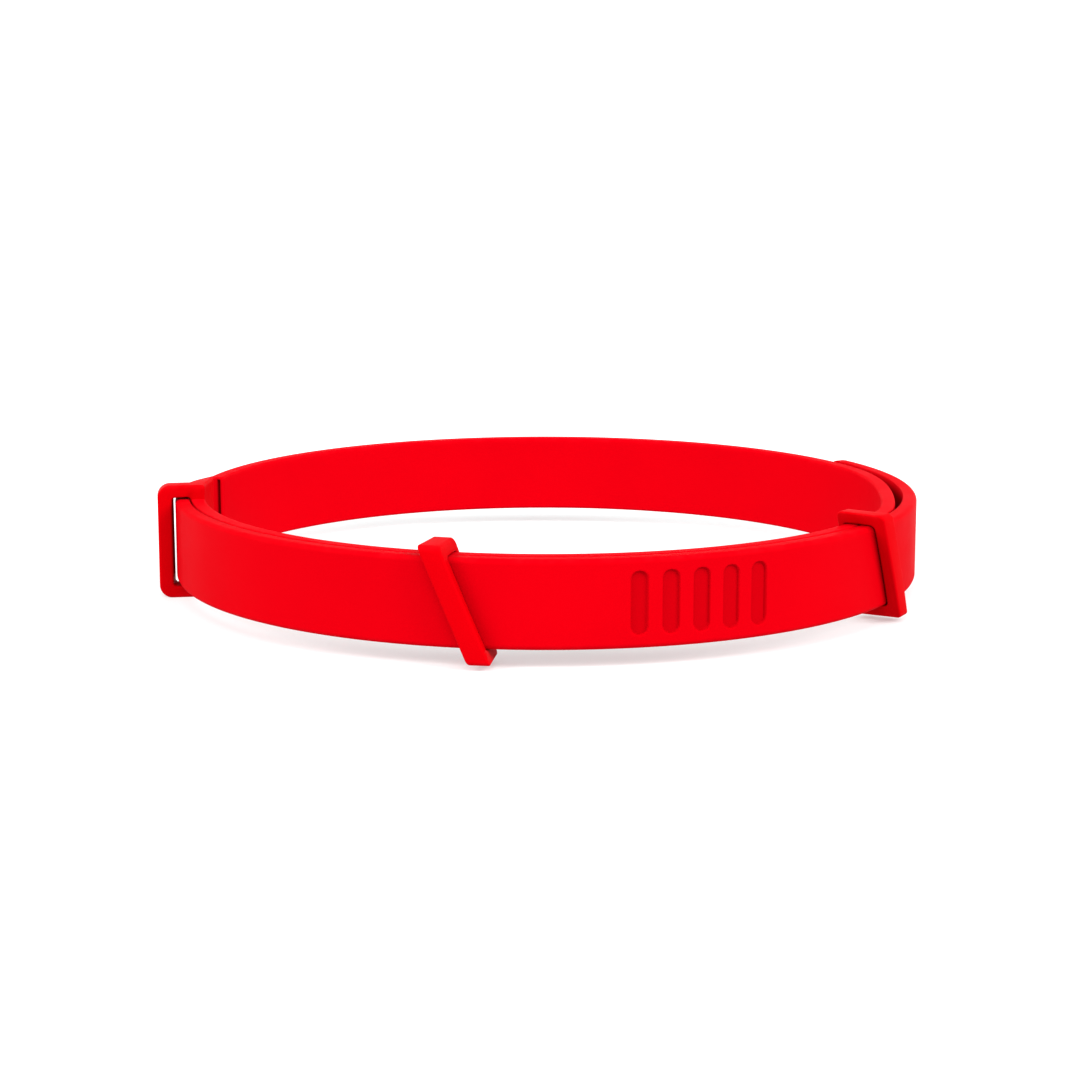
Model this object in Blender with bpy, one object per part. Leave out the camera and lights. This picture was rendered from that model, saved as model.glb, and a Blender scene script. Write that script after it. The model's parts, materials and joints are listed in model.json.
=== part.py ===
"""Ankle cuff weight: a slim moulded strap loop, closed through a buckle frame.

Run with: blender --background --python part.py

The loop stands on its edge, with its width along Z, on the plane Z = 0.  Angles run
counterclockwise from +X seen from above, and follow the strap: the inner layer starts at the
buckle frame at the left, passes the front (270), the right (360) and the back (450), steps out
by one layer, and comes back through the frame as the tail, the outer layer, to its free end.
Every piece that slides along the strap turns about the loop's vertical axis.
"""

import math

import bmesh
import bpy
from mathutils import Matrix, Vector

# Loop, metres
INNER_RADIUS = 0.0547
LAYER = 0.0022
LAYER_GAP = 0.0003
BAND_HEIGHT = 0.0130
BAND_LOW = 0.00275
EDGE_CHAMFER = 0.0005
STEP_ANGLE = 3.0
FIT_GAP = 0.0003

# Buckle frame
FRAME_HEIGHT = 0.0180
FRAME_DEPTH = 0.0032
FRAME_OUTER_BAR = 0.0021
SLOT_WIDTH = 0.0030
SLOT_HEIGHT = 0.01425
SLOT_LOW = 0.0018
FRAME_CORNER = 0.0019
SLOT_CORNER = 0.0006
FRAME_ANGLE = 189.0
ANCHOR_REAR = 0.0060
ANCHOR_LEAN = math.radians(16.0)
TANG_LENGTH = 0.0045
TANG_HEIGHT = 0.0085

# Strap layout, degrees along the strap
BAND_START = 191.0
STEP_OUT_START = 524.0
STEP_OUT_END = 536.0
BAND_END = 542.5
TAIL_START = 182.8
DIP_START = 339.5
DIP_END = 384.0
DIP_DEPTH = 0.0011
DIP_SKEW = 0.75
FLAP_SEAM = 342.5
SEAM_GAP = 0.4
TAIL_STOP = 392.0
TAIL_CORNER = 0.0028
FLAP_BOW = 0.0007

# Inside of the band
LINER = 0.0004
LINER_GAP = 0.00015
POCKET_DEPTH = 0.0012
SLUG_COUNT = 20
SLUG_LENGTH = 0.0115
SLUG_HEIGHT = 0.0085
SLUG_THICKNESS = 0.0009
POCKET_PLAY = 0.0003
FIRST_SLUG = 206.0
LAST_SLUG = 511.0

# Tongue of the tail in the end socket of the band
TONGUE_THICKNESS = 0.0008
TONGUE_HEIGHT = 0.0090
TONGUE_TIP = 177.3
SOCKET_BOTTOM = 536.6

# Grip grooves in the tail
GROOVE_COUNT = 5
GROOVE_WIDTH = 0.0025
GROOVE_LENGTH = 0.0092
GROOVE_DEPTH = 0.0004
GROOVE_PITCH_ANGLE = 4.5
GROOVE_END = 0.98
GROOVE_CENTRE_ANGLE = 291.7

# Keepers
KEEPER_WIDTH_ANGLE = 3.1
KEEPER_SLANT = math.radians(22.0)
KEEPER_PLAY_RADIAL = 0.0002
KEEPER_PLAY_HEIGHT = 0.0003
KEEPER_OUTER_PLATE = 0.0019
KEEPER_INNER_PLATE = 0.0010
KEEPER_TOP_BAR = 0.0016
KEEPER_LOW_BAR = 0.0016
KEEPER_CHAMFER = 0.0004
KEEPER_FRONT_ANGLE = 257.7
KEEPER_SIDE_ANGLE = 329.0

# Derived radii and heights
BAND_OUTER = INNER_RADIUS + LAYER
TAIL_INNER = BAND_OUTER + LAYER_GAP
TAIL_OUTER = TAIL_INNER + LAYER
STEP_OUT = LAYER + LAYER_GAP
BAND_HIGH = BAND_LOW + BAND_HEIGHT
BAND_MIDDLE = BAND_LOW + BAND_HEIGHT / 2
SHELL_INNER = INNER_RADIUS + LINER + LINER_GAP
SLOT_INNER = BAND_OUTER + FIT_GAP / 2
SLOT_OUTER = SLOT_INNER + SLOT_WIDTH
FRAME_OUTER = SLOT_OUTER + FRAME_OUTER_BAR

# The loop's axis, set so that the whole object is centred on the origin
LOOP_X = 0.00101
LOOP_Y = 0.00205

RED = (0.913, 0.0, 0.005, 1.0)
DEEP_RED = (0.80, 0.0, 0.006, 1.0)
STEEL = (0.55, 0.56, 0.58, 1.0)


def clear_scene():
    for item in list(bpy.data.objects):
        bpy.data.objects.remove(item)


def new_collection(name):
    collection = bpy.data.collections.new(name)
    bpy.context.scene.collection.children.link(collection)
    return collection


def material(name, colour, roughness, metallic=0.0):
    made = bpy.data.materials.new(name)
    made.use_nodes = True
    shader = made.node_tree.nodes["Principled BSDF"]
    shader.inputs["Base Color"].default_value = colour
    shader.inputs["Roughness"].default_value = roughness
    shader.inputs["Metallic"].default_value = metallic
    return made


def add_object(name, bm, collection, finish=None):
    """Make an object on the loop's axis from a bmesh with its faces pointing out."""
    bmesh.ops.recalc_face_normals(bm, faces=bm.faces)
    mesh = bpy.data.meshes.new(name)
    bm.to_mesh(mesh)
    bm.free()
    made = bpy.data.objects.new(name, mesh)
    made.location = (LOOP_X, LOOP_Y, 0.0)
    collection.objects.link(made)
    if finish is not None:
        mesh.materials.append(finish)
    return made


def chamfered_section(low, high, inner, outer, chamfer):
    """Corner points (radius, height) of a rectangle with its corners cut off."""
    if chamfer == 0.0:
        return [(inner, low), (outer, low), (outer, high), (inner, high)]
    return [
        (inner + chamfer, low), (outer - chamfer, low),
        (outer, low + chamfer), (outer, high - chamfer),
        (outer - chamfer, high), (inner + chamfer, high),
        (inner, high - chamfer), (inner, low + chamfer),
    ]


def sector(inner, outer, low, high, start, end, chamfer=0.0):
    """A closed strip along the loop: a section at the start angle, spun to the end angle."""
    bm = bmesh.new()
    turn = math.radians(start)
    section = chamfered_section(low, high, inner, outer, chamfer)
    corners = [bm.verts.new((r * math.cos(turn), r * math.sin(turn), z)) for r, z in section]
    face = bm.faces.new(corners)
    steps = max(1, round((end - start) / STEP_ANGLE))
    bmesh.ops.spin(
        bm, geom=[face, *face.edges, *face.verts], cent=(0, 0, 0), axis=(0, 0, 1),
        angle=math.radians(end - start), steps=steps, use_duplicate=False,
    )
    return bm


def strap_angle(point, start):
    """Angle of a point about the loop's axis in degrees, from start up to start + 360."""
    angle = math.degrees(math.atan2(point.y, point.x))
    return start + (angle - start) % 360.0


def eased(angle, start, end):
    """Share of the way from the start to the end angle, with a smooth start and stop."""
    share = min(max((angle - start) / (end - start), 0.0), 1.0)
    return share * share * (3.0 - 2.0 * share)


def path_rise(angle):
    """How far the band lies outside its circle: a dip at the right, the step out at the left."""
    rise = STEP_OUT * eased(angle, STEP_OUT_START, STEP_OUT_END)
    if DIP_START < angle < DIP_END:
        turn = math.pi * ((angle - DIP_START) / (DIP_END - DIP_START)) ** DIP_SKEW
        rise -= DIP_DEPTH * math.sin(turn) ** 2
    return rise


def flap_rise(angle):
    """How far the free end bows away from its circle."""
    return FLAP_BOW * eased(angle, FLAP_SEAM, TAIL_STOP)


def lay_on_path(bm, rise=path_rise, start=BAND_START - 2.0):
    """Move a piece of the strap from its circle to its path."""
    for vertex in bm.verts:
        outward = Vector((vertex.co.x, vertex.co.y, 0.0)).normalized()
        vertex.co += outward * rise(strap_angle(vertex.co, start))


def slant(bm, middle_radius):
    """Lean a piece along the strap, its top towards smaller angles."""
    for vertex in bm.verts:
        lean = -math.tan(KEEPER_SLANT) * (vertex.co.z - BAND_MIDDLE) / middle_radius
        x = vertex.co.x * math.cos(lean) - vertex.co.y * math.sin(lean)
        y = vertex.co.x * math.sin(lean) + vertex.co.y * math.cos(lean)
        vertex.co.x = x
        vertex.co.y = y


def cut(target, cutter):
    step = target.modifiers.new("cut", "BOOLEAN")
    step.operation = "DIFFERENCE"
    step.object = cutter
    step.solver = "EXACT"


def cutter_object(name, bm, collection):
    made = add_object(name, bm, collection)
    made.hide_render = True
    made.display_type = "WIRE"
    return made


def smooth(made):
    made.data.shade_smooth()
    made.data.set_sharp_from_angle(angle=math.radians(35.0))


def band_pieces(parts, cutters, finish, liner_finish):
    """The inner layer: a shell with pockets, and the liner that closes them."""
    shell = sector(SHELL_INNER, BAND_OUTER, BAND_LOW, BAND_HIGH, BAND_START, BAND_END,
                   EDGE_CHAMFER)
    lay_on_path(shell)
    band = add_object("band_outer", shell, parts, finish)
    liner = sector(INNER_RADIUS, INNER_RADIUS + LINER, BAND_LOW, BAND_HIGH, BAND_START,
                   BAND_END)
    lay_on_path(liner)
    smooth(add_object("inner_liner", liner, parts, liner_finish))

    for number, angle in enumerate(slug_angles(), start=1):
        half = math.degrees((SLUG_LENGTH / 2 + POCKET_PLAY) / INNER_RADIUS)
        pocket = pocket_cutter(angle - half, angle + half, SLUG_HEIGHT)
        cut(band, cutter_object(f"pocket_{number:02d}", pocket, cutters))

    tang_end = BAND_START + math.degrees((TANG_LENGTH + POCKET_PLAY) / INNER_RADIUS)
    tang_pocket = pocket_cutter(BAND_START - 1.0, tang_end, TANG_HEIGHT)
    cut(band, cutter_object("tang_pocket", tang_pocket, cutters))
    socket = pocket_cutter(SOCKET_BOTTOM, BAND_END + 1.0, TONGUE_HEIGHT)
    cut(band, cutter_object("tongue_socket", socket, cutters))
    smooth(band)


def pocket_cutter(start, end, height):
    """The space of one pocket, open to the band's inner side."""
    half = height / 2 + POCKET_PLAY
    pocket = sector(SHELL_INNER - LINER, SHELL_INNER + POCKET_DEPTH, BAND_MIDDLE - half,
                    BAND_MIDDLE + half, start, end)
    lay_on_path(pocket)
    return pocket


def slug_angles():
    pitch = (LAST_SLUG - FIRST_SLUG) / (SLUG_COUNT - 1)
    return [FIRST_SLUG + pitch * number for number in range(SLUG_COUNT)]


def weight_slugs(parts, finish):
    """Flat plates, one in each pocket, bent to the loop."""
    half = math.degrees(SLUG_LENGTH / 2 / INNER_RADIUS)
    inner = SHELL_INNER + (POCKET_DEPTH - SLUG_THICKNESS) / 2
    for number, angle in enumerate(slug_angles(), start=1):
        plate = sector(inner, inner + SLUG_THICKNESS, BAND_MIDDLE - SLUG_HEIGHT / 2,
                       BAND_MIDDLE + SLUG_HEIGHT / 2, angle - half, angle + half)
        lay_on_path(plate)
        smooth(add_object(f"weight_slug_{number:02d}", plate, parts, finish))


def frame_box(radial_low, radial_high, along_low, along_high, low, high):
    """A box in the frame's own axes, radial along X and the strap's direction along Y."""
    bm = bmesh.new()
    bmesh.ops.create_cube(bm, size=1.0)
    size = Vector((radial_high - radial_low, along_high - along_low, high - low))
    middle = Vector((radial_high + radial_low, along_high + along_low, high + low)) / 2
    bmesh.ops.scale(bm, vec=size, verts=bm.verts)
    bmesh.ops.translate(bm, vec=middle, verts=bm.verts)
    return bm


def round_corners(bm, radius):
    """Round the four edges that run along the strap's direction."""
    edges = [e for e in bm.edges if abs((e.verts[0].co - e.verts[1].co).normalized().y) > 0.9]
    bmesh.ops.bevel(bm, geom=edges, offset=radius, segments=4, profile=0.5, affect="EDGES")


def buckle_frame(parts, cutters, finish):
    """The rectangular frame, with the anchor that joins it to the start of the band."""
    half = FRAME_DEPTH / 2
    plate = frame_box(INNER_RADIUS, FRAME_OUTER, -half, half, 0.0, FRAME_HEIGHT)
    round_corners(plate, FRAME_CORNER)
    frame = add_object("buckle_frame", plate, parts, finish)

    anchor = frame_box(INNER_RADIUS, SLOT_INNER, -ANCHOR_REAR, 0.0, 0.0, FRAME_HEIGHT)
    lean = Matrix.Rotation(-ANCHOR_LEAN, 3, "Z")
    bmesh.ops.rotate(anchor, cent=(SLOT_INNER, 0.0, 0.0), matrix=lean, verts=anchor.verts)
    tang_middle = SHELL_INNER + POCKET_DEPTH / 2
    tang = sector(tang_middle - SLUG_THICKNESS / 2, tang_middle + SLUG_THICKNESS / 2,
                  BAND_MIDDLE - TANG_HEIGHT / 2, BAND_MIDDLE + TANG_HEIGHT / 2, 0.0,
                  math.degrees((half + TANG_LENGTH) / INNER_RADIUS))
    for name, shape in (("anchor", anchor), ("tang", tang)):
        joined = cutter_object(name, shape, cutters)
        step = frame.modifiers.new(name, "BOOLEAN")
        step.operation = "UNION"
        step.object = joined
        step.solver = "EXACT"
        turn_to_frame(joined)

    slot = frame_box(SLOT_INNER, SLOT_OUTER, -FRAME_DEPTH, FRAME_DEPTH,
                     SLOT_LOW, SLOT_LOW + SLOT_HEIGHT)
    round_corners(slot, SLOT_CORNER)
    opening = cutter_object("frame_slot", slot, cutters)
    cut(frame, opening)
    turn_to_frame(opening)
    turn_to_frame(frame)
    smooth(frame)


def turn_to_frame(made):
    made.rotation_euler.z = math.radians(FRAME_ANGLE)


def tail_pieces(parts, cutters, finish):
    """The outer layer with its tongue and grooves, and the flap beyond the side keeper."""
    strip = sector(TAIL_INNER, TAIL_OUTER, BAND_LOW, BAND_HIGH, TAIL_START,
                   FLAP_SEAM - SEAM_GAP / 2, EDGE_CHAMFER)
    tail = add_object("tail", strip, parts, finish)
    tongue_middle = SHELL_INNER + STEP_OUT + POCKET_DEPTH / 2
    tongue = sector(tongue_middle - TONGUE_THICKNESS / 2, tongue_middle + TONGUE_THICKNESS / 2,
                    BAND_MIDDLE - TONGUE_HEIGHT / 2, BAND_MIDDLE + TONGUE_HEIGHT / 2,
                    TONGUE_TIP, TAIL_START + 1.0)
    step = tail.modifiers.new("tongue", "BOOLEAN")
    step.operation = "UNION"
    step.object = cutter_object("tongue", tongue, cutters)
    step.solver = "EXACT"
    for number in range(GROOVE_COUNT):
        cut(tail, groove_cutter(number, cutters))
    smooth(tail)

    flap = sector(TAIL_INNER, TAIL_OUTER, BAND_LOW, BAND_HIGH, FLAP_SEAM + SEAM_GAP / 2,
                  TAIL_STOP, EDGE_CHAMFER)
    lay_on_path(flap, flap_rise, FLAP_SEAM - 2.0)
    made = add_object("tail_end", flap, parts, finish)
    end_corners(made)
    move_origin(made, seam_point())
    smooth(made)


def groove_cutter(number, cutters):
    """An upright bar with round ends that dips into the tail's outer face."""
    angle = GROOVE_CENTRE_ANGLE + GROOVE_PITCH_ANGLE * (number - (GROOVE_COUNT - 1) / 2)
    bm = bmesh.new()
    bmesh.ops.create_cube(bm, size=1.0)
    bmesh.ops.scale(bm, vec=(2 * GROOVE_DEPTH, GROOVE_WIDTH, GROOVE_LENGTH), verts=bm.verts)
    edges = [e for e in bm.edges if abs((e.verts[0].co - e.verts[1].co).normalized().x) > 0.9]
    bmesh.ops.bevel(bm, geom=edges, offset=GROOVE_END * GROOVE_WIDTH / 2, segments=6,
                    profile=0.5, affect="EDGES")
    bmesh.ops.translate(bm, vec=(TAIL_OUTER, 0.0, BAND_MIDDLE), verts=bm.verts)
    made = cutter_object(f"groove_{number + 1}", bm, cutters)
    made.rotation_euler.z = math.radians(angle)
    return made


def end_corners(made):
    """Round the two corners of the free end, seen from outside."""
    bm = bmesh.new()
    bm.from_mesh(made.data)
    end = math.radians(TAIL_STOP)
    along = Vector((-math.sin(end), math.cos(end), 0.0))
    outward = Vector((math.cos(end), math.sin(end), 0.0))
    face = max(bm.faces, key=lambda f: f.normal.dot(along))
    edges = [e for e in face.edges
             if abs((e.verts[0].co - e.verts[1].co).normalized().dot(outward)) > 0.9]
    bmesh.ops.bevel(bm, geom=edges, offset=TAIL_CORNER, segments=4, profile=0.5,
                    affect="EDGES", clamp_overlap=True)
    bm.to_mesh(made.data)
    bm.free()


def seam_point():
    turn = math.radians(FLAP_SEAM)
    return Vector((TAIL_OUTER * math.cos(turn), TAIL_OUTER * math.sin(turn), BAND_MIDDLE))


def move_origin(made, point):
    """Put an object's origin at a point given from the loop's axis, shape unmoved."""
    for vertex in made.data.vertices:
        vertex.co -= point
    made.location += point


def keeper(name, angle, parts, cutters, finish):
    """A slanted closed loop around both layers, centred on an angle of the loop."""
    inner = INNER_RADIUS - KEEPER_PLAY_RADIAL
    outer = TAIL_OUTER + KEEPER_PLAY_RADIAL
    low = BAND_LOW - KEEPER_PLAY_HEIGHT
    high = BAND_HIGH + KEEPER_PLAY_HEIGHT
    half = KEEPER_WIDTH_ANGLE / 2
    body = sector(inner - KEEPER_INNER_PLATE, outer + KEEPER_OUTER_PLATE, low - KEEPER_LOW_BAR,
                  high + KEEPER_TOP_BAR, angle - half, angle + half, KEEPER_CHAMFER)
    slant(body, BAND_OUTER)
    space = sector(inner, outer, low, high, angle - 2 * half, angle + 2 * half)
    slant(space, BAND_OUTER)
    made = add_object(name, body, parts, finish)
    cut(made, cutter_object(f"{name}_space", space, cutters))
    smooth(made)


def main():
    clear_scene()
    parts = new_collection("ankle_cuff_weight")
    cutters = new_collection("cutters")
    strap_red = material("strap red", RED, 0.42)
    liner_red = material("liner red", DEEP_RED, 0.5)
    frame_red = material("frame red", RED, 0.36)
    tail_red = material("tail red", RED, 0.42)
    keeper_red = material("keeper red", RED, 0.38)
    plate_steel = material("plate steel", STEEL, 0.35, 1.0)
    band_pieces(parts, cutters, strap_red, liner_red)
    weight_slugs(parts, plate_steel)
    buckle_frame(parts, cutters, frame_red)
    tail_pieces(parts, cutters, tail_red)
    keeper("keeper_front", KEEPER_FRONT_ANGLE, parts, cutters, keeper_red)
    keeper("keeper_side", KEEPER_SIDE_ANGLE, parts, cutters, keeper_red)


main()
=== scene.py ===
"""Ankle cuff weight: the finished look of the strap loop, its buckle frame and its keepers.

Laid out as an add-on.  The packed model is loaded first and stays fixed.  Every new piece is a
surface worked out on a grid: a cross-section carried round the loop's upright axis.  Lengths are
in metres.  Angles along the strap are in degrees round that axis, as in the packed model: the
inner layer passes the front at 270, the right at 360 and the back at 450.
"""

import json
import math

import bmesh
import bpy
import numpy as np
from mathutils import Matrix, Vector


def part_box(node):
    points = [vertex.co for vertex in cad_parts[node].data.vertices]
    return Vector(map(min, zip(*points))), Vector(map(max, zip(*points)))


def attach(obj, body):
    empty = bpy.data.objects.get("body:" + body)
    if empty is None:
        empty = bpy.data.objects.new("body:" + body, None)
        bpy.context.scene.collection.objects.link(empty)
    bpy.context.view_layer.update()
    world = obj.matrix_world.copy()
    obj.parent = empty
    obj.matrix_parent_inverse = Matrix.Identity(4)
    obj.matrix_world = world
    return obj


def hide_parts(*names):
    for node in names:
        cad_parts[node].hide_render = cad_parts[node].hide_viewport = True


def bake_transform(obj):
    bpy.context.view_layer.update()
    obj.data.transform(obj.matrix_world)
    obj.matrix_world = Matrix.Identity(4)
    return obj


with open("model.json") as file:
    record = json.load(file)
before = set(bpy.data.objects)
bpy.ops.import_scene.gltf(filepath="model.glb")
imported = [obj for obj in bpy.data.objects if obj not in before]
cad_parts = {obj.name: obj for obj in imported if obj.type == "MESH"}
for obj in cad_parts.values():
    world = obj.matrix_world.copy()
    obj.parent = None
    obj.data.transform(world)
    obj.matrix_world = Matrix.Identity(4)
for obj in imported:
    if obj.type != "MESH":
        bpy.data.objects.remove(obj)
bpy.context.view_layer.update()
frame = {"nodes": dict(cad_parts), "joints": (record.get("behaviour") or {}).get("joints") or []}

bl_info = {
    "name": "Ankle cuff weight",
    "version": (1, 0, 0),
    "blender": (4, 5, 0),
    "location": "View3D > Sidebar > Ankle cuff",
    "description": "Builds a moulded ankle cuff with its buckle frame, keepers and studio",
    "category": "Add Mesh",
}

JOINTS = {joint["name"]: joint for joint in frame["joints"]}
AXIS = np.array(JOINTS["keeper_front_slide"]["pos_m"][:2])
BAND_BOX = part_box("band_outer")
BAND_LOW = BAND_BOX[0][2]
BAND_HIGH = BAND_BOX[1][2]
BAND_MIDDLE = (BAND_LOW + BAND_HIGH) / 2
FRAME_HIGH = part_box("buckle_frame")[1][2]


def polar(name):
    """Angle in degrees, radius and height of every vertex of a CAD node, about the axis."""
    vertices = frame["nodes"][name].data.vertices
    points = np.empty(len(vertices) * 3)
    vertices.foreach_get("co", points)
    points = points.reshape(-1, 3)
    x, y = points[:, 0] - AXIS[0], points[:, 1] - AXIS[1]
    return np.degrees(np.arctan2(y, x)) % 360.0, np.hypot(x, y), points[:, 2]


def radius_range(name, start=0.0, end=360.0):
    """Least and greatest radius of a CAD node between two angles."""
    angle, radius, _ = polar(name)
    near = radius[(angle >= start) & (angle <= end)]
    return float(near.min()), float(near.max())


# The layers' radii are read along the front, where the strap is a plain arc

FRONT = (200.0, 330.0)
LINER_INNER = radius_range("inner_liner", *FRONT)[0]
BAND_OUTER = radius_range("band_outer", *FRONT)[1]
TAIL_INNER, TAIL_OUTER = radius_range("tail", *FRONT)
LAYER = TAIL_OUTER - TAIL_INNER
STEP_OUT = TAIL_OUTER - BAND_OUTER
FRAME_OUTER = radius_range("buckle_frame")[1]


# Settings that a user would change


class StrapSettings(bpy.types.PropertyGroup):
    """Shape of the strap's two layers."""

    outer_edge: bpy.props.FloatProperty(
        name="Outer edge radius", description="Rounding of the edges that face away from the leg",
        default=0.0007, min=0.0001, max=0.001, unit="LENGTH")
    inner_edge: bpy.props.FloatProperty(
        name="Inner edge radius", description="Rounding of the edges that face the leg",
        default=0.0004, min=0.0001, max=0.001, unit="LENGTH")
    seam_edge: bpy.props.FloatProperty(
        name="Seam edge radius", description="Rounding where the two layers lie on each other",
        default=0.00022, min=0.0001, max=0.001, unit="LENGTH")
    end_corner: bpy.props.FloatProperty(
        name="Free end corner", description="Corner radius of the strap's free end",
        default=0.0028, min=0.001, max=0.006, unit="LENGTH")
    end_edge: bpy.props.FloatProperty(
        name="Inner end edge", description="Rounding round the inner layer's end",
        default=0.0002, min=0.0001, max=0.0004, unit="LENGTH")
    end_wall: bpy.props.FloatProperty(
        name="Inner end wall", description="Wall round the hollow in the inner layer's end",
        default=0.00036, min=0.0003, max=0.0008, unit="LENGTH")
    end_hollow: bpy.props.FloatProperty(
        name="Inner end hollow", description="Depth in degrees of the hollow in that end",
        default=3.2, min=0.5, max=5.0)
    dip_depth: bpy.props.FloatProperty(
        name="Gap at the side", description="How far the inner layer hangs away from the outer",
        default=0.0011, min=0.0, max=0.0015, unit="LENGTH")
    end_bow: bpy.props.FloatProperty(
        name="Bow of the free end", description="How far the free end stands off the loop",
        default=0.0007, min=0.0, max=0.002, unit="LENGTH")


class GripSettings(bpy.types.PropertyGroup):
    """The row of grooves pressed into the outer layer."""

    count: bpy.props.IntProperty(
        name="Grooves", description="Number of grooves in the row", default=5, min=1, max=9)
    width: bpy.props.FloatProperty(
        name="Width", description="Width of one groove", default=0.0025, unit="LENGTH")
    length: bpy.props.FloatProperty(
        name="Length", description="Height of one groove on the strap", default=0.0092,
        unit="LENGTH")
    depth: bpy.props.FloatProperty(
        name="Depth", description="Depth of the groove floor", default=0.0004, unit="LENGTH")
    pitch: bpy.props.FloatProperty(
        name="Pitch", description="Angle from one groove to the next", subtype="ANGLE",
        default=math.radians(4.5))
    centre: bpy.props.FloatProperty(
        name="Centre", description="Angle of the middle groove round the loop",
        subtype="ANGLE", default=math.radians(291.7))


class KeeperSettings(bpy.types.PropertyGroup):
    """The slanted sliding loops."""

    width: bpy.props.FloatProperty(
        name="Width", description="Width of a keeper along the strap", default=0.0031,
        unit="LENGTH")
    edge: bpy.props.FloatProperty(
        name="Edge radius", description="Rounding of a keeper's edges", default=0.00035,
        unit="LENGTH")
    side_play: bpy.props.FloatProperty(
        name="Play at the sides", description="Gap between a keeper and the strap's faces",
        default=0.00018, min=0.0, unit="LENGTH")
    height_play: bpy.props.FloatProperty(
        name="Play in height", description="Gap between a keeper and the strap's edges",
        default=0.00006, min=0.0, unit="LENGTH")
    slot_corner: bpy.props.FloatProperty(
        name="Slot corner", description="Radius of the slot's upper outer corner",
        default=0.00075, unit="LENGTH")
    slant: bpy.props.FloatProperty(
        name="Slant", description="Lean of the keepers along the strap", subtype="ANGLE",
        default=math.radians(22.0))


class BuckleSettings(bpy.types.PropertyGroup):
    """The rectangular frame that the strap passes through."""

    depth: bpy.props.FloatProperty(
        name="Depth", description="Depth of the frame along the strap", default=0.0032,
        unit="LENGTH")
    corner: bpy.props.FloatProperty(
        name="Corner", description="Radius of the frame's outer corners", default=0.0020,
        unit="LENGTH")
    slot_height: bpy.props.FloatProperty(
        name="Slot height", description="Height of the slot for the strap", default=0.01425,
        unit="LENGTH")
    slot_width: bpy.props.FloatProperty(
        name="Slot width", description="Width of the slot for the strap", default=0.0030,
        unit="LENGTH")
    draft: bpy.props.FloatProperty(
        name="Draft", description="How much the slot narrows towards the rear",
        default=0.00025, min=0.0, max=0.00028, unit="LENGTH")
    anchor_rear: bpy.props.FloatProperty(
        name="Anchor length", description="How far the anchor runs behind the frame's middle",
        default=0.0064, unit="LENGTH")
    anchor_lean: bpy.props.FloatProperty(
        name="Anchor lean", description="Lean of the anchor towards the leg", subtype="ANGLE",
        default=math.radians(16.0))
    edge: bpy.props.FloatProperty(
        name="Edge radius", description="Rounding of the frame's edges", default=0.00028,
        unit="LENGTH")


class FinishSettings(bpy.types.PropertyGroup):
    """Colours of the moulded pieces and the weights."""

    outer: bpy.props.FloatVectorProperty(
        name="Outer layer", description="Colour of the strap's outer layer and free end",
        subtype="COLOR", size=4, default=(0.488, 0.0, 0.0064, 1.0), min=0.0, max=1.0)
    # The inner layer is set a little lighter than the outer one: painted light for the brighter
    # lit faces inside the loop.
    inner: bpy.props.FloatVectorProperty(
        name="Inner layer", description="Colour of the strap's inner layer",
        subtype="COLOR", size=4, default=(0.512, 0.0, 0.0072, 1.0), min=0.0, max=1.0)
    fittings: bpy.props.FloatVectorProperty(
        name="Fittings", description="Colour of the frame and the keepers", subtype="COLOR",
        size=4, default=(0.484, 0.0, 0.0042, 1.0), min=0.0, max=1.0)
    steel: bpy.props.FloatVectorProperty(
        name="Weights", description="Colour of the steel plates", subtype="COLOR", size=4,
        default=(0.50, 0.51, 0.53, 1.0), min=0.0, max=1.0)


class StudioSettings(bpy.types.PropertyGroup):
    """Camera and light."""

    focal_length: bpy.props.FloatProperty(
        name="Focal length", description="Focal length in millimetres on a 36 mm sensor",
        default=84.5, min=20.0, max=200.0)
    distance: bpy.props.FloatProperty(
        name="Distance", description="Distance from the camera to the loop", default=0.4121,
        unit="LENGTH")
    pitch: bpy.props.FloatProperty(
        name="Pitch", description="Angle of the camera above the horizon", subtype="ANGLE",
        default=0.1889)
    aim_side: bpy.props.FloatProperty(
        name="Aim sideways", description="Aim point beside the loop's axis", default=-0.00091,
        unit="LENGTH")
    aim_height: bpy.props.FloatProperty(
        name="Aim height", description="Aim point above the floor", default=0.00722,
        unit="LENGTH")


# Mesh making


def turned(angle, radius, height):
    """Points at an angle in degrees, a radius and a height about the loop's axis."""
    turn = np.radians(angle)
    x = AXIS[0] + radius * np.cos(turn)
    y = AXIS[1] + radius * np.sin(turn)
    return np.stack(np.broadcast_arrays(x, y, height), axis=-1)


def grid_faces(rows, columns, closed):
    """Quads between neighbouring rows of a grid whose columns close on themselves."""
    row = np.arange(rows if closed else rows - 1)[:, None]
    column = np.arange(columns)[None, :]
    here, beyond = row * columns, ((row + 1) % rows) * columns
    following = (column + 1) % columns
    quads = np.stack([here + column, here + following, beyond + following, beyond + column], -1)
    return quads.reshape(-1, 4)


def cap_faces(first, columns):
    """Faces that close a ring whose halves mirror each other: a triangle at the top, quads
    from one half to the other, and a triangle at the bottom.
    """
    near = np.arange(1, columns // 2 - 1)
    quads = np.stack([near, near + 1, columns - near - 1, columns - near], -1) + first
    low = columns // 2
    return ([[first, first + 1, first + columns - 1]] + quads.tolist()
            + [[first + low - 1, first + low, first + low + 1]])


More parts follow.
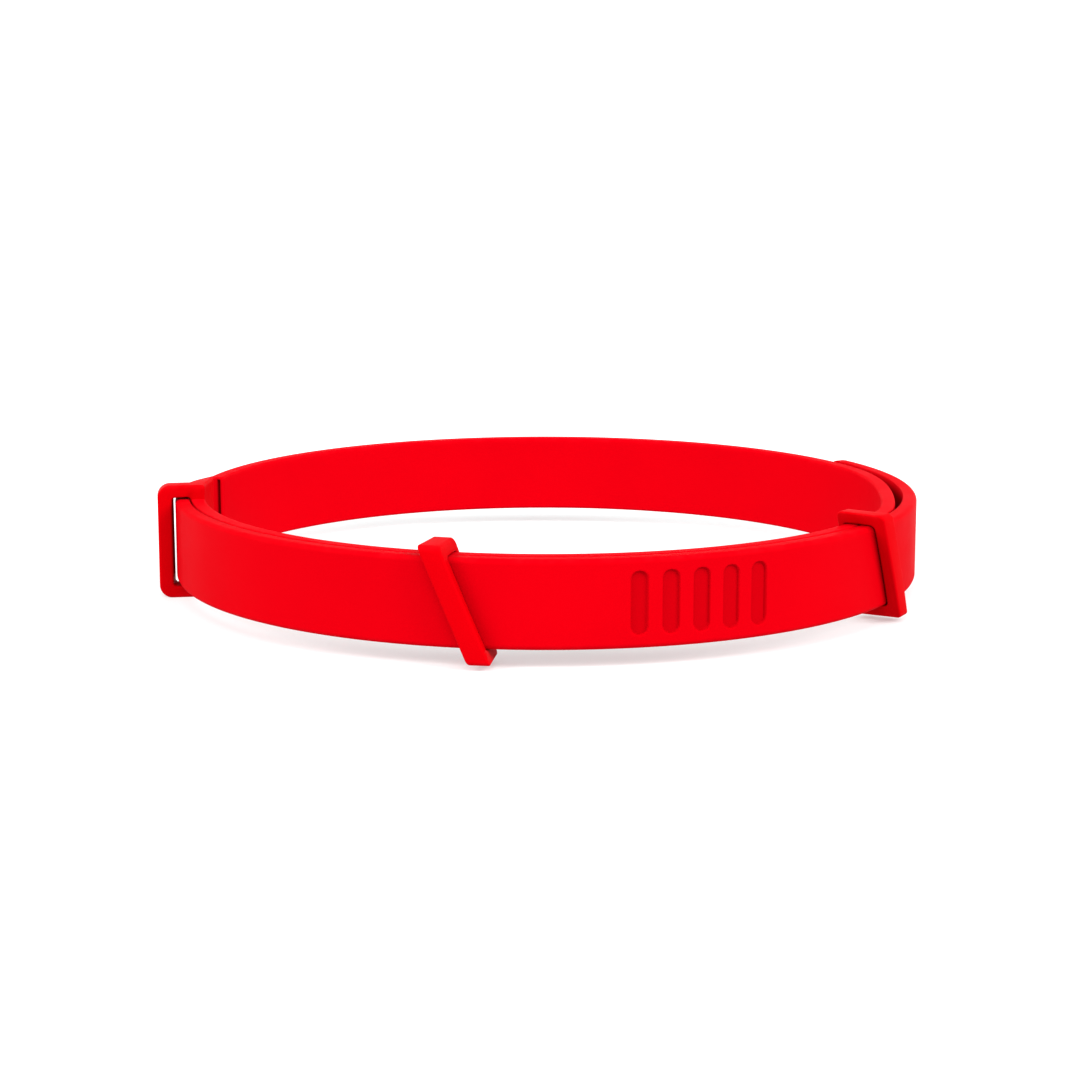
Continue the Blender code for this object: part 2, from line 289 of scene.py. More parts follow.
def build(name, rings, closed, finish, pressed=None):
    """A mesh object from rings of points (rows, columns, 3), with open ends capped.

    The share of pressing at each point, where given, becomes the attribute "pressed", which the
    material turns into painted shade in the grooves.
    """
    rows, columns = rings.shape[:2]
    faces = grid_faces(rows, columns, closed).tolist()
    if not closed:
        faces += cap_faces(0, columns) + cap_faces((rows - 1) * columns, columns)
    mesh = bpy.data.meshes.new(name)
    mesh.from_pydata(rings.reshape(-1, 3).tolist(), [], faces)
    if pressed is not None:
        attribute = mesh.attributes.new("pressed", "FLOAT", "POINT")
        attribute.data.foreach_set("value", np.ravel(pressed).astype(np.float32))
    work = bmesh.new()
    work.from_mesh(mesh)
    bmesh.ops.recalc_face_normals(work, faces=work.faces)
    work.to_mesh(mesh)
    work.free()
    mesh.shade_smooth()
    mesh.set_sharp_from_angle(angle=math.radians(40.0))
    made = bpy.data.objects.new(name, mesh)
    bpy.context.scene.collection.objects.link(made)
    mesh.materials.append(finish)
    return made


def strap_section(half_thickness, half_height, outer_edge, inner_edge, side_heights):
    """Section of a strap layer, a ring from the top middle down the outer side and back up.

    Each corner is a quarter circle: centre plus edge radius times (sine, cosine).  The long
    sides pass through the given share of the height, from +1 at the top to -1.
    """
    arc = np.linspace(0.0, math.pi / 2, 7)
    top = np.array([0.0, 0.5])
    across, height = [], []
    for edge in (outer_edge, inner_edge):
        flat = half_thickness - edge
        straight = half_height - edge
        across.append(np.concatenate([
            top * flat, flat + edge * np.sin(arc),
            np.full(len(side_heights), half_thickness), flat + edge * np.cos(arc),
            top[::-1] * flat]))
        height.append(np.concatenate([
            np.full(2, half_height), straight + edge * np.cos(arc), side_heights * straight,
            -straight - edge * np.sin(arc), np.full(2, -half_height)]))
    x = np.concatenate([across[0], -across[1][-2:0:-1]])
    z = np.concatenate([height[0], height[1][-2:0:-1]])
    return x, z


def smoothstep(share):
    """Three times the square less twice the cube, of the share held between 0 and 1."""
    share = np.clip(share, 0.0, 1.0)
    return share * share * (3.0 - 2.0 * share)


# Where the strap runs, in degrees along it

BAND_START = 190.0
BAND_STOP = 528.8
TAIL_ROOT = 520.0
TAIL_EMERGED = 531.0
STEP_START = 524.0
STEP_END = 536.0
DIP_START = 339.5
DIP_END = 384.0
DIP_SKEW = 0.75
OVERLAP_SEAM = 329.0
FLAP_SEAM = 342.5
TAIL_STOP = 392.0
FRAME_ANGLE = 189.0
ROOT_BLEND = (176.0, 184.0)
FLAP_BLEND = (338.5, 346.5)

# Grid of the strap: degrees from ring to ring, and heights along a layer's flat sides

RING_STEP = 0.75
GROOVE_RING_STEP = 0.14
SIDES = np.linspace(0.9, -0.9, 9)

# Where the outer layer's root is hidden in the inner layer, it is made this share smaller

ROOT_THINNER = 0.14
ROOT_LOWER = 0.006
LEAST_EDGE = 0.00002
GROOVE_LIP = 0.0002

# Corner radii and clearances of the fittings

KEEPER_SLOT_CORNERS = (0.0003, 0.0006, 0.0004)
KEEPER_CORNERS = (0.0007, 0.0006, 0.0009, 0.0009)
FRAME_SLOT_CORNER = 0.0006
FRAME_SLOT_LOW = 0.0018
FRAME_GAP = 0.00015
ANCHOR_CORNER = 0.0005
FRAME_SIDE_POINTS = 11


def step_rise(angle):
    """How far the strap lies outside its inner circle where it steps out by one layer."""
    return STEP_OUT * smoothstep((angle - STEP_START) / (STEP_END - STEP_START))


def dip(angle, depth):
    """Squared sine of the share of the dip's stretch, skewed by a power, times the depth."""
    share = np.clip((angle - DIP_START) / (DIP_END - DIP_START), 0.0, 1.0)
    return depth * np.sin(math.pi * share ** DIP_SKEW) ** 2


def end_inset(left, radius):
    """Inset of an outline that ends in a quarter circle: the radius less the circle's height
    at the length left to the end.
    """
    near = np.clip(radius - left, 0.0, radius)
    return radius - np.sqrt(radius ** 2 - near ** 2)


def end_angles(stop, reach, radii, arc_radius):
    """Angles of the last rings before a rounded end: closer together in each quarter circle."""
    turns = np.linspace(0.0, math.pi / 2, 13)
    left = np.unique(np.concatenate([r * (1.0 - np.sin(turns)) for r in radii]).round(9))
    left = left[left <= reach][::-1]
    return stop - np.degrees(left / arc_radius)


def strap_rings(angle, middle, stop, arc_radius, corner, edges, side_heights):
    """Rings of a strap layer whose end at the stop angle has rounded corners and edges.

    The section loses height by the corner's inset and thickness by the edge's inset.
    """
    outer_edge, inner_edge = edges
    left = np.radians(stop - angle) * arc_radius
    half_height = (BAND_HIGH - BAND_LOW) / 2
    rings = []
    for turn, radius, cut, thin in zip(angle, middle, end_inset(left, corner),
                                       end_inset(left, inner_edge)):
        x, z = strap_section(LAYER / 2 - thin, half_height - cut,
                             max(outer_edge - thin, LEAST_EDGE),
                             max(inner_edge - thin, LEAST_EDGE), side_heights)
        rings.append(turned(turn, radius + x, BAND_MIDDLE + z))
    return np.array(rings)


# Materials


def group_socket(group, name, kind, direction, value=None):
    """Give a node group a named input or output, with its default."""
    socket = group.interface.new_socket(name, in_out=direction, socket_type=kind)
    if value is not None:
        socket.default_value = value


def noise(group, place, scale, detail, rough=0.5):
    """Cloudy value between 0 and 1 at a place."""
    node = group.nodes.new("ShaderNodeTexNoise")
    node.inputs["Scale"].default_value = scale
    node.inputs["Detail"].default_value = detail
    node.inputs["Roughness"].default_value = rough
    group.links.new(place, node.inputs["Vector"])
    return node.outputs["Fac"]


def remap(group, value, low, high, to_low, to_high):
    """Map Range from one span to another, either end a number or a socket."""
    node = group.nodes.new("ShaderNodeMapRange")
    for key, given in (("Value", value), ("From Min", low), ("From Max", high),
                       ("To Min", to_low), ("To Max", to_high)):
        if isinstance(given, (int, float)):
            node.inputs[key].default_value = given
        else:
            group.links.new(given, node.inputs[key])
    return node.outputs["Result"]


def combine(group, operation, first, second):
    """One sum on two values, each a number or a socket."""
    node = group.nodes.new("ShaderNodeMath")
    node.operation = operation
    for index, given in enumerate((first, second)):
        if isinstance(given, (int, float)):
            node.inputs[index].default_value = given
        else:
            group.links.new(given, node.inputs[index])
    return node.outputs["Value"]


def blend_colours(group, share, first, second):
    """The first colour turned into the second by a share."""
    node = group.nodes.new("ShaderNodeMix")
    node.data_type = "RGBA"
    for key, given in ((0, share), (6, first), (7, second)):
        if isinstance(given, (int, float, tuple)):
            node.inputs[key].default_value = given
        else:
            group.links.new(given, node.inputs[key])
    return node.outputs[2]


def moulded_skin_group():
    """Moulded polymer: cloudy tone, fine pebbled grain, smudges, lint and rubbed rims, with
    painted shade, a deeper tone, where it is pressed into grooves.

    The rubbed rims are where the height is near the top or the bottom given as inputs.
    """
    groove_shade_depth, rim_reach, rim_roughness = 0.38, 0.0009, 0.25
    name = "moulded_skin"
    if name in bpy.data.node_groups:
        return bpy.data.node_groups[name]
    group = bpy.data.node_groups.new(name, "ShaderNodeTree")
    for socket, kind, value in (
            ("Colour", "NodeSocketColor", (0.8, 0.0, 0.0, 1.0)),
            ("Pale", "NodeSocketColor", (1.0, 0.1, 0.1, 1.0)),
            ("Deep", "NodeSocketColor", (0.4, 0.0, 0.0, 1.0)),
            ("Shade", "NodeSocketFloat", 0.08),
            ("Roughness", "NodeSocketFloat", 0.4),
            ("Smudge", "NodeSocketFloat", 0.06),
            ("Grain size", "NodeSocketFloat", 2500.0),
            ("Rim low", "NodeSocketFloat", 0.0),
            ("Rim high", "NodeSocketFloat", 0.02),
            ("Rim wear", "NodeSocketFloat", 0.2),
            ("Lint", "NodeSocketFloat", 0.3),
            ("Pressed", "NodeSocketFloat", 0.0)):
        group_socket(group, socket, kind, "INPUT", value)
    group_socket(group, "Colour", "NodeSocketColor", "OUTPUT")
    group_socket(group, "Roughness", "NodeSocketFloat", "OUTPUT")
    group_socket(group, "Height", "NodeSocketFloat", "OUTPUT")
    given = group.nodes.new("NodeGroupInput").outputs
    result = group.nodes.new("NodeGroupOutput").inputs
    place = group.nodes.new("ShaderNodeTexCoord").outputs["Object"]
    parts = group.nodes.new("ShaderNodeSeparateXYZ")
    group.links.new(place, parts.inputs[0])

    cloud = noise(group, place, 55.0, 4.0, 0.55)
    tone = remap(group, cloud, 0.3, 0.7, 1.0, 0.0)
    tone = combine(group, "MULTIPLY", tone, given["Shade"])
    # Where the strap is pressed into grooves the deep tone is mixed in as well: painted shade in
    # the recesses.
    tone = combine(group, "MAXIMUM", tone, combine(group, "MULTIPLY", given["Pressed"],
                                                      groove_shade_depth))
    colour = blend_colours(group, tone, given["Colour"], given["Deep"])

    low = remap(group, combine(group, "SUBTRACT", parts.outputs["Z"], given["Rim low"]),
                0.0, rim_reach, 1.0, 0.0)
    high = remap(group, combine(group, "SUBTRACT", given["Rim high"], parts.outputs["Z"]),
                 0.0, rim_reach, 1.0, 0.0)
    patches = remap(group, noise(group, place, 420.0, 5.0, 0.65), 0.42, 0.68, 0.0, 1.0)
    rim = combine(group, "MULTIPLY", combine(group, "MAXIMUM", low, high), patches)
    rim = combine(group, "MULTIPLY", rim, given["Rim wear"])
    colour = blend_colours(group, rim, colour, given["Pale"])

    specks = group.nodes.new("ShaderNodeTexVoronoi")
    specks.inputs["Scale"].default_value = 650.0
    specks.inputs["Randomness"].default_value = 1.0
    group.links.new(place, specks.inputs["Vector"])
    dots = remap(group, specks.outputs["Distance"], 0.035, 0.075, 1.0, 0.0)
    chosen = remap(group, noise(group, place, 160.0, 2.0), 0.60, 0.68, 0.0, 1.0)
    lint = combine(group, "MULTIPLY", combine(group, "MULTIPLY", dots, chosen), given["Lint"])
    colour = blend_colours(group, lint, colour, given["Pale"])
    group.links.new(colour, result["Colour"])

    smudge = remap(group, noise(group, place, 90.0, 6.0, 0.6), 0.35, 0.70, -1.0, 1.0)
    smudge = combine(group, "MULTIPLY", smudge, given["Smudge"])
    rough = combine(group, "ADD", given["Roughness"], smudge)
    rough = combine(group, "ADD", rough, combine(group, "MULTIPLY", rim, rim_roughness))
    group.links.new(rough, result["Roughness"])

    pebbles = group.nodes.new("ShaderNodeTexNoise")
    pebbles.inputs["Detail"].default_value = 3.0
    group.links.new(place, pebbles.inputs["Vector"])
    group.links.new(given["Grain size"], pebbles.inputs["Scale"])
    height = combine(group, "ADD", pebbles.outputs["Fac"], combine(group, "MULTIPLY", cloud, 0.6))
    height = combine(group, "ADD", height, combine(group, "MULTIPLY", lint, 0.5))
    group.links.new(height, result["Height"])
    return group


def moulded(name, colour, pale, roughness, values, bump):
    """A moulded polymer with a faint pinkish gloss, its deep tone 0.6 of its colour, which also
    gives the painted shade in the grooves.
    """
    made = bpy.data.materials.new(name)
    made.use_nodes = True
    tree = made.node_tree
    shader = tree.nodes["Principled BSDF"]
    shader.inputs["Specular IOR Level"].default_value = 0.012
    shader.inputs["Specular Tint"].default_value = (1.0, 0.32, 0.62, 1.0)
    skin = tree.nodes.new("ShaderNodeGroup")
    skin.node_tree = moulded_skin_group()
    skin.inputs["Colour"].default_value = colour
    skin.inputs["Pale"].default_value = pale
    skin.inputs["Deep"].default_value = (*(0.6 * part for part in colour[:3]), 1.0)
    skin.inputs["Roughness"].default_value = roughness
    for key, value in values.items():
        skin.inputs[key].default_value = value
    grain = tree.nodes.new("ShaderNodeBump")
    grain.inputs["Strength"].default_value = bump
    grain.inputs["Distance"].default_value = 0.00004
    # The groove depth share stored on the mesh drives the painted shade in the grooves.
    groove_shade_share = tree.nodes.new("ShaderNodeAttribute")
    groove_shade_share.attribute_name = "pressed"
    tree.links.new(groove_shade_share.outputs["Fac"], skin.inputs["Pressed"])
    tree.links.new(skin.outputs["Height"], grain.inputs["Height"])
    tree.links.new(skin.outputs["Colour"], shader.inputs["Base Color"])
    tree.links.new(skin.outputs["Roughness"], shader.inputs["Roughness"])
    tree.links.new(grain.outputs["Normal"], shader.inputs["Normal"])
    return made


PALE_RED = (0.85, 0.03, 0.05, 1.0)


def strap_material(layer):
    """Elastomer of a strap layer, "outer" or "inner", made once for each."""
    name = f"{layer} layer elastomer"
    if name in bpy.data.materials:
        return bpy.data.materials[name]
    # The inner layer's lighter colour is painted light for the faces inside the loop.
    colour = tuple(getattr(bpy.context.scene.cuff_finish, layer))
    return moulded(name, colour, PALE_RED, 0.50,
                   {"Shade": 0.10, "Smudge": 0.05, "Grain size": 2600.0, "Rim low": BAND_LOW,
                    "Rim high": BAND_HIGH, "Rim wear": 0.10, "Lint": 0.12}, 0.25)


def fitting_material(name, low, high, roughness):
    """Plastic of one fitting, with its rims at its lowest and highest points."""
    colour = tuple(bpy.context.scene.cuff_finish.fittings)
    return moulded(name, colour, PALE_RED, roughness,
                   {"Shade": 0.08, "Smudge": 0.07, "Grain size": 3400.0, "Rim low": low,
                    "Rim high": high, "Rim wear": 0.16, "Lint": 0.10}, 0.18)


def steel_material():
    """Rolled plate: fine lines along the strap's width, mottled tone, a few dark spots."""
    made = bpy.data.materials.new("rolled plate")
    made.use_nodes = True
    tree = made.node_tree
    shader = tree.nodes["Principled BSDF"]
    shader.inputs["Metallic"].default_value = 1.0
    place = tree.nodes.new("ShaderNodeTexCoord").outputs["Object"]
    stretch = tree.nodes.new("ShaderNodeMapping")
    stretch.inputs["Scale"].default_value = (1.0, 1.0, 30.0)
    tree.links.new(place, stretch.inputs["Vector"])
    lines = noise(tree, stretch.outputs["Vector"], 180.0, 5.0, 0.7)
    spots = remap(tree, noise(tree, place, 700.0, 4.0), 0.62, 0.72, 0.0, 0.6)
    colour = tuple(bpy.context.scene.cuff_finish.steel)
    tone = blend_colours(tree, remap(tree, lines, 0.3, 0.7, 0.0, 0.5), colour,
                         (0.30, 0.31, 0.33, 1.0))
    tone = blend_colours(tree, spots, tone, (0.12, 0.10, 0.09, 1.0))
    tree.links.new(tone, shader.inputs["Base Color"])
    tree.links.new(remap(tree, lines, 0.3, 0.7, 0.25, 0.45), shader.inputs["Roughness"])
    bump = tree.nodes.new("ShaderNodeBump")
    bump.inputs["Strength"].default_value = 0.3
    bump.inputs["Distance"].default_value = 0.00003
    tree.links.new(lines, bump.inputs["Height"])
    tree.links.new(bump.outputs["Normal"], shader.inputs["Normal"])
    return made


# Pieces


class CUFF_OT_band(bpy.types.Operator):
    """Build the strap's inner layer, from the buckle frame round to its end at the left"""

    bl_idname = "cuff.band"
    bl_label = "Inner layer"

    def execute(self, context):
        settings = context.scene.cuff_strap
        edge = settings.end_edge
        last = end_angles(BAND_STOP, 2 * edge, (edge,), LINER_INNER)
        angle = np.concatenate([np.arange(BAND_START, BAND_STOP - 0.8, RING_STEP), last])
        middle = LINER_INNER + LAYER / 2 - dip(angle, settings.dip_depth)
        rings = strap_rings(angle, middle, BAND_STOP, LINER_INNER, edge,
                            (settings.seam_edge, settings.inner_edge), SIDES)
        wall = settings.end_wall
        x, z = strap_section(LAYER / 2 - wall, (BAND_HIGH - BAND_LOW) / 2 - wall, wall / 3,
                             wall / 3, SIDES)
        hollow = np.array([BAND_STOP, BAND_STOP - settings.end_hollow])[:, None]
        rings = np.concatenate([rings, turned(hollow, middle[-1] + x, BAND_MIDDLE + z)])
        # Its lighter colour is painted light for the loop's inner faces.
        made = build("strap_inner_layer", rings, False, strap_material("inner"))
        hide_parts("band_outer", "inner_liner")
        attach(made, "band")
        return {"FINISHED"}


def groove_depth(angle, height, settings):
    """Depth of the pressed grooves at an angle in degrees and a height from the middle.

    The distance to an upright bar with round ends is the length of (distance along the strap,
    height beyond the straight part) less half the width; a soft step turns it into a depth.
    """
    pitch, centre = math.degrees(settings.pitch), math.degrees(settings.centre)
    index = np.round((angle - centre) / pitch)
    last = (settings.count - 1) / 2
    nearest = centre + pitch * np.clip(index, -last, last)
    along = np.radians(angle - nearest) * TAIL_OUTER
    beyond = np.maximum(np.abs(height) - (settings.length - settings.width) / 2, 0.0)
    distance = np.hypot(along, beyond) - settings.width / 2
    return settings.depth * smoothstep((GROOVE_LIP / 2 - distance) / GROOVE_LIP)


class CUFF_OT_tail(bpy.types.Operator):
    """Build the strap's outer layer, from its root through the frame to the side keeper"""

    bl_idname = "cuff.tail"
    bl_label = "Outer layer"

    def execute(self, context):
        settings, grip = context.scene.cuff_strap, context.scene.cuff_grip
        reach = math.degrees(grip.pitch) * grip.count / 2 + 0.5
        centre = math.degrees(grip.centre)
        angle = np.concatenate([
            np.arange(TAIL_ROOT - 360.0, centre - reach, RING_STEP),
            np.arange(centre - reach, centre + reach, GROOVE_RING_STEP),
            np.arange(centre + reach, OVERLAP_SEAM, RING_STEP), [OVERLAP_SEAM]])
        half_height = (BAND_HIGH - BAND_LOW) / 2
        groove_share = grip.length / 2 / (half_height - settings.outer_edge) + 0.06
        sides = np.concatenate([[0.98], np.linspace(groove_share, -groove_share, 66), [-0.98]])
        x, z = strap_section(LAYER / 2, half_height, settings.outer_edge, settings.seam_edge,
                             sides)
        before = angle < STEP_END - 360.0
        step = np.where(before, step_rise(angle + 360.0), STEP_OUT)
        hidden = 1.0 - smoothstep((angle + 360.0 - STEP_START + 1.0)
                                  / (TAIL_EMERGED - STEP_START + 1.0))
        thinner = 1.0 - ROOT_THINNER * hidden[:, None]
        radius = (LINER_INNER + LAYER / 2 + step)[:, None] + x * thinner
        outside = (x > LAYER / 2 - 1e-6)[None, :]
        depth = outside * groove_depth(angle[:, None], z[None, :], grip)
        height = BAND_MIDDLE + z * (1.0 - ROOT_LOWER * hidden[:, None])
        rings = turned(angle[:, None], radius - depth, height)
        # The depth share goes to the material, which paints shade into the grooves with it.
        made = build("strap_outer_layer", rings, False, strap_material("outer"),
                     depth / grip.depth)
        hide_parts("tail")
        start, end = turned(np.array(ROOT_BLEND), TAIL_INNER, BAND_MIDDLE)
        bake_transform(made)
        return {"FINISHED"}


class CUFF_OT_free_end(bpy.types.Operator):
    """Build the strap's free end beyond the side keeper"""

    bl_idname = "cuff.free_end"
    bl_label = "Free end"

    def execute(self, context):
        settings = context.scene.cuff_strap
        corner, edge = settings.end_corner, settings.seam_edge
        last = end_angles(TAIL_STOP, corner, (corner, edge), TAIL_OUTER)
        angle = np.concatenate([np.arange(OVERLAP_SEAM, last[0] - 0.3, RING_STEP), last])
        bow = settings.end_bow * smoothstep((angle - FLAP_SEAM) / (TAIL_STOP - FLAP_SEAM))
        rings = strap_rings(angle, TAIL_INNER + LAYER / 2 + bow, TAIL_STOP, TAIL_OUTER, corner,
                            (settings.outer_edge, edge), SIDES)
        made = build("strap_free_end", rings, False, strap_material("outer"))
        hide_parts("tail_end")
        start, end = turned(np.array(FLAP_BLEND), TAIL_OUTER, BAND_MIDDLE)
        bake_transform(made)
        return {"FINISHED"}


def rounded_outline(low, high, radii, points_per_side=5, points_per_corner=9):
    """Outline of a rectangle from corner low to corner high, counterclockwise, with a quarter
    circle of its own radius at each corner, in the order low-low, high-low, high-high,
    low-high.
    """
    corners = [(low[0], low[1]), (high[0], low[1]), (high[0], high[1]), (low[0], high[1])]
    inward = [(1, 1), (-1, 1), (-1, -1), (1, -1)]
    arcs = []
    for index, (corner, side, radius) in enumerate(zip(corners, inward, radii)):
        turn = math.pi * (1.0 + index / 2) + np.linspace(0.0, math.pi / 2, points_per_corner)
        centre = np.array(corner) + radius * np.array(side)
        arcs.append(centre + radius * np.stack([np.cos(turn), np.sin(turn)], -1))
    stretches = []
    share = np.linspace(0.0, 1.0, points_per_side + 2)[1:-1, None]
    for index, arc in enumerate(arcs):
        following = arcs[(index + 1) % 4][0]
        stretches += [arc, arc[-1] + (following - arc[-1]) * share]
    return np.concatenate(stretches)


def bar_section(edge):
    """Corner signs and quarter-circle offsets of a bar's rounded rectangular section."""
    turn = np.linspace(0.0, math.pi / 2, 6)
    signs, offsets = [], []
    for index, sign in enumerate([(1, 1), (-1, 1), (-1, -1), (1, -1)]):
        arc = turn + index * math.pi / 2
        signs.append(np.tile(sign, (len(turn), 1)))
        offsets.append(edge * np.stack([np.cos(arc), np.sin(arc)], -1))
    return np.concatenate(signs).astype(float), np.concatenate(offsets)


def loop_bar(inside, outside, half_width, edge, draft=0.0):
    """Radius, height and place along the strap of a closed bar between two outlines.

    A point of the bar's section is its corner sign times (half size less edge radius) plus a
    quarter circle, across from the inside outline to the outside one and along the width.
    The draft moves the inside rear edge towards the opening.
    """
    signs, offsets = bar_section(edge)
    span = outside - inside
    thickness = np.linalg.norm(span, axis=1, keepdims=True)
    across = signs[:, 0] * (thickness / 2 - edge) + offsets[:, 0]
    along = signs[:, 1] * (half_width - edge) + offsets[:, 1]
    middle = (inside + outside) / 2
    along = np.broadcast_to(along, across.shape)
    near = (0.5 - across / thickness) * (0.5 - along / (2 * half_width))
    across = across - near * draft
    place = middle[:, None, :] + (span / thickness)[:, None, :] * across[..., None]
    return place[..., 0], place[..., 1], along


class CUFF_OT_keepers(bpy.types.Operator):
    """Build the two slanted keepers that hold the strap's layers together"""

    bl_idname = "cuff.keepers"
    bl_label = "Keepers"

    def execute(self, context):
        settings = context.scene.cuff_keeper
        low_inner, low_outer, high_inner = KEEPER_SLOT_CORNERS
        for name in ("keeper_front", "keeper_side"):
            angle, radius, height = polar(name)
            centre = (angle.max() + angle.min()) / 2
            low, high = height.min(), height.max()
            near, far = radius.min(), radius.max()
            inside = rounded_outline(
                (LINER_INNER - settings.side_play, BAND_LOW - settings.height_play),
                (TAIL_OUTER + settings.side_play, BAND_HIGH + settings.height_play),
                (low_inner, low_outer, settings.slot_corner, high_inner))
            outside = rounded_outline((near, low), (far, high), KEEPER_CORNERS)
            r, z, along = loop_bar(inside, outside, settings.width / 2, settings.edge)
            lean = math.tan(settings.slant) * (z - BAND_MIDDLE)
            turn = centre + np.degrees((along - lean) / BAND_OUTER)
            rings = turned(turn, r, z)
            finish = fitting_material(f"{name} plastic", low, high, 0.45)
            made = build(f"{name}_loop", rings, True, finish)
            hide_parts(name)
            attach(made, name)
        return {"FINISHED"}


class CUFF_OT_buckle(bpy.types.Operator):
    """Build the buckle frame with the root that the inner layer starts from"""

    bl_idname = "cuff.buckle"
    bl_label = "Buckle frame"

    def execute(self, context):
        settings = context.scene.cuff_buckle
        turn = math.radians(FRAME_ANGLE)
        slot_inner = BAND_OUTER + FRAME_GAP
        slot_outer = slot_inner + settings.slot_width
        inside = rounded_outline(
            (slot_inner, FRAME_SLOT_LOW), (slot_outer, FRAME_SLOT_LOW + settings.slot_height),
            (FRAME_SLOT_CORNER,) * 4, FRAME_SIDE_POINTS)
        outside = rounded_outline(
            (LINER_INNER, 0.0), (FRAME_OUTER, FRAME_HIGH),
            (ANCHOR_CORNER, settings.corner, settings.corner, ANCHOR_CORNER), FRAME_SIDE_POINTS)
        middle = ((inside + outside) / 2)[:, 0]
        anchor = smoothstep((slot_inner + 0.0003 - middle) / 0.0008)[:, None]
        outer_bar = smoothstep((middle - slot_outer + 0.0002) / 0.0006)[:, None]
        r, z, along = loop_bar(inside, outside, settings.depth / 2, settings.edge,
                               settings.draft * (1.0 - anchor + 0.8 * outer_bar))
        rear = np.clip(0.5 - along / settings.depth, 0.0, 1.0) * anchor
        long = along - rear * (settings.anchor_rear - settings.depth / 2)
        lean = settings.anchor_lean * rear
        r, along = (slot_inner + (r - slot_inner) * np.cos(lean) + long * np.sin(lean),
                    long * np.cos(lean) - (r - slot_inner) * np.sin(lean))
        x = AXIS[0] + r * math.cos(turn) - along * math.sin(turn)
        y = AXIS[1] + r * math.sin(turn) + along * math.cos(turn)
        finish = fitting_material("buckle plastic", 0.0, FRAME_HIGH, 0.42)
        made = build("buckle_frame_loop", np.stack([x, y, z], -1), True, finish)
        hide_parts("buckle_frame")
        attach(made, "band")
        return {"FINISHED"}


class CUFF_OT_weights(bpy.types.Operator):
    """Give the plates inside the strap their rolled steel finish"""

    bl_idname = "cuff.weights"
    bl_label = "Weights"

    def execute(self, context):
        finish = steel_material()
        for name, node in frame["nodes"].items():
            if name.startswith("weight_slug"):
                node.data.materials.clear()
                node.data.materials.append(finish)
        return {"FINISHED"}


# Studio


def floor_surface():
    """A round floor that runs flat and then rises as a quarter of a circle at its rim."""
    flat, bend = 3.0, 1.0
    turn = np.linspace(0.0, math.pi / 2, 17)
    reach = np.concatenate([[0.02, 0.3, 1.0, 2.0], flat + bend * np.sin(turn)])
    height = np.concatenate([np.zeros(4), bend * (1.0 - np.cos(turn))])
    around = np.linspace(0.0, 2 * math.pi, 97)[:-1]
    rings = np.stack([reach[:, None] * np.cos(around), reach[:, None] * np.sin(around),
                      np.broadcast_to(height[:, None], (len(reach), 96))], -1)
    faces = grid_faces(len(reach), 96, False)[:, ::-1]
    middle = np.arange(96)[None, :]
    mesh = bpy.data.meshes.new("studio_floor")
    mesh.from_pydata(rings.reshape(-1, 3).tolist(), [], faces.tolist() + middle.tolist())
    mesh.shade_smooth()
    floor = bpy.data.objects.new("studio_floor", mesh)
    bpy.context.scene.collection.objects.link(floor)
    return floor


def floor_material():
    """Pale paint that also gives off some of its own light, so that shadows stay light."""
    made = bpy.data.materials.new("studio floor paint")
    made.use_nodes = True
    tree = made.node_tree
    shader = tree.nodes["Principled BSDF"]
    shader.inputs["Specular IOR Level"].default_value = 0.1
    place = tree.nodes.new("ShaderNodeTexCoord").outputs["Object"]
    tone = remap(tree, noise(tree, place, 3.0, 3.0), 0.3, 0.7, 0.0, 1.0)
    # The paint is tinted slightly blue-green to cancel the red light the strap throws onto it, so
    # its shadows look grey.
    colour = blend_colours(tree, tone, (0.40, 0.445, 0.445, 1.0), (0.43, 0.475, 0.475, 1.0))
    shader.inputs["Emission Color"].default_value = (1.0, 1.0, 1.0, 1.0)
    shader.inputs["Emission Strength"].default_value = 0.46
    tree.links.new(colour, shader.inputs["Base Color"])
    tree.links.new(remap(tree, tone, 0.0, 1.0, 0.75, 0.85), shader.inputs["Roughness"])
    return made


def sun(name, azimuth, elevation, strength, spread):
    """A soft distant light that shines towards the loop from an azimuth and an elevation."""
    light = bpy.data.lights.new(name, "SUN")
    light.energy = strength
    light.angle = math.radians(spread)
    lamp = bpy.data.objects.new(name, light)
    lamp.rotation_euler = (math.radians(90.0 - elevation), 0.0, math.radians(azimuth))
    bpy.context.scene.collection.objects.link(lamp)


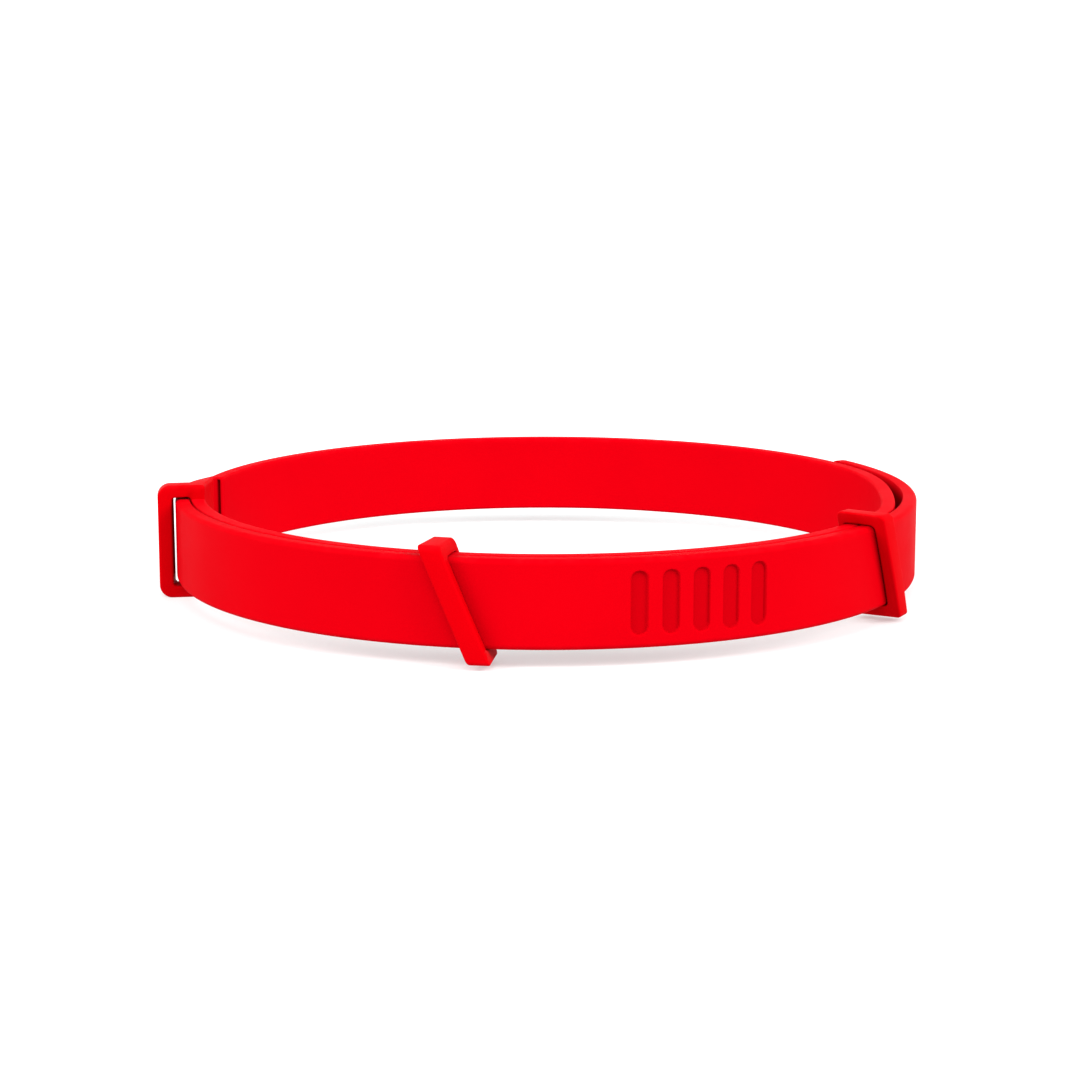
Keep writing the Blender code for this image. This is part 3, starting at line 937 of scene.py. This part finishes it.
class CUFF_OT_stage(bpy.types.Operator):
    """Set up the pale floor, the soft light and the camera"""

    bl_idname = "cuff.stage"
    bl_label = "Studio"

    def execute(self, context):
        scene, settings = context.scene, context.scene.cuff_studio
        floor = floor_surface()
        floor.data.materials.append(floor_material())
        world = bpy.data.worlds.new("studio light")
        world.use_nodes = True
        backdrop = world.node_tree.nodes["Background"]
        backdrop.inputs["Color"].default_value = (1.0, 1.0, 1.0, 1.0)
        backdrop.inputs["Strength"].default_value = 0.80
        scene.world = world
        sun("front light", -5.0, 44.0, 1.4, 45.0)
        sun("left light", -66.0, 32.0, 2.45, 34.0)
        sun("right light", 64.0, 34.0, 2.8, 34.0)
        scene.view_settings.view_transform = "Standard"
        scene.view_settings.gamma = 0.8

        camera = bpy.data.objects.new("camera", bpy.data.cameras.new("camera"))
        camera.data.lens = settings.focal_length
        camera.data.sensor_width = 36.0
        camera.data.clip_start = 0.01
        back = settings.distance * math.cos(settings.pitch)
        up = settings.distance * math.sin(settings.pitch)
        camera.location = (AXIS[0] + settings.aim_side, AXIS[1] - back,
                           settings.aim_height + up)
        camera.rotation_euler = (math.pi / 2 - settings.pitch, 0.0, 0.0)
        scene.collection.objects.link(camera)
        scene.camera = camera
        return {"FINISHED"}


class CUFF_PT_panel(bpy.types.Panel):
    """Sidebar panel that lists the pieces and their settings"""

    bl_label = "Ankle cuff"
    bl_idname = "CUFF_PT_panel"
    bl_space_type = "VIEW_3D"
    bl_region_type = "UI"
    bl_category = "Ankle cuff"

    def draw(self, context):
        layout = self.layout
        for operator in OPERATORS:
            layout.operator(operator.bl_idname)
        for key, group in SETTINGS.items():
            box = layout.box()
            box.label(text=group.__doc__)
            for prop in group.__annotations__:
                box.prop(getattr(context.scene, key), prop)


SETTINGS = {
    "cuff_strap": StrapSettings,
    "cuff_grip": GripSettings,
    "cuff_keeper": KeeperSettings,
    "cuff_buckle": BuckleSettings,
    "cuff_finish": FinishSettings,
    "cuff_studio": StudioSettings,
}
OPERATORS = (CUFF_OT_band, CUFF_OT_tail, CUFF_OT_free_end, CUFF_OT_keepers, CUFF_OT_buckle,
             CUFF_OT_weights, CUFF_OT_stage)


def register():
    for key, group in SETTINGS.items():
        bpy.utils.register_class(group)
        setattr(bpy.types.Scene, key, bpy.props.PointerProperty(type=group))
    for item in (*OPERATORS, CUFF_PT_panel):
        bpy.utils.register_class(item)


def unregister():
    for item in (CUFF_PT_panel, *reversed(OPERATORS)):
        bpy.utils.unregister_class(item)
    for key, group in reversed(SETTINGS.items()):
        delattr(bpy.types.Scene, key)
        bpy.utils.unregister_class(group)


def main():
    register()
    bpy.ops.cuff.stage()
    bpy.ops.cuff.band()
    bpy.ops.cuff.tail()
    bpy.ops.cuff.free_end()
    bpy.ops.cuff.keepers()
    bpy.ops.cuff.buckle()
    bpy.ops.cuff.weights()


if __name__ == "__main__":
    main()
